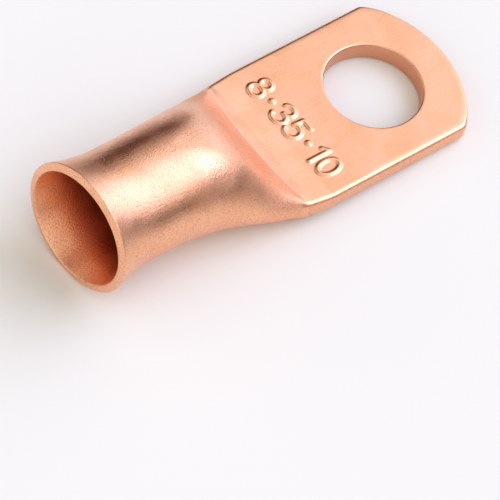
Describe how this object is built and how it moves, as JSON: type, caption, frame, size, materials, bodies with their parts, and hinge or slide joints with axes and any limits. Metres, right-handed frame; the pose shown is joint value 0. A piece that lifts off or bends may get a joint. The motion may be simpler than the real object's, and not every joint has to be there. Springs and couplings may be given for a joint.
{
  "type": "battery ring terminal",
  "caption": "Copper ring terminal: a bell-mouthed tube for a cable, pressed flat at the other end into a round-tipped palm with a stud hole.",
  "frame": {"origin": "centre of the stud hole, on the palm's flat underside", "axes": "+Z along the stud hole's axis, out of the palm's upper face; +X along the lug, from the tube's mouth to the palm's tip; +Y across the palm"},
  "size_m": [0.0388, 0.0142, 0.0116],
  "materials": {
    "copper": "bare annealed copper, satin, with a fine drawn grain"
  },
  "bodies": {
    "root": {"terminal_lug": "copper"}
  },
  "joints": []
}
